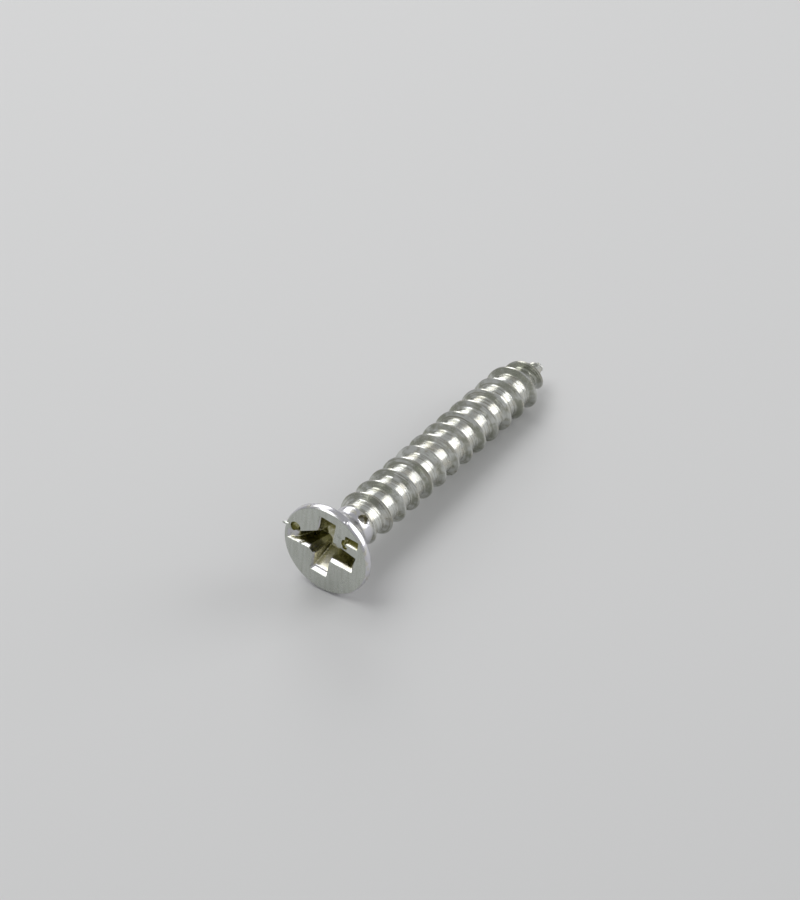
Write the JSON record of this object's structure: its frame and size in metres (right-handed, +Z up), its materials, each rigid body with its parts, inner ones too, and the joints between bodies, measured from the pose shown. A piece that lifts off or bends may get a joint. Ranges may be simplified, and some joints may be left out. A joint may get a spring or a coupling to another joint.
{
  "type": "self-tapping screw",
  "caption": "Zinc-plated self-tapping screw with a countersunk cross-recess head, coarse spaced thread and gimlet point, lying on its side, with a worn recess.",
  "frame": {"origin": "on the surface that the screw lies on, under the middle of its bounding box", "axes": "+X from the head to the point, +Z up, +Y to the left seen from the head; the screw's axis dips 4 degrees towards the point"},
  "size_m": [0.0252, 0.0065, 0.0064],
  "materials": {
    "zinc_plated_steel": "bright zinc plating, slightly dulled and scratched"
  },
  "bodies": {
    "root": {"self_tapping_screw": "zinc_plated_steel"}
  },
  "joints": []
}
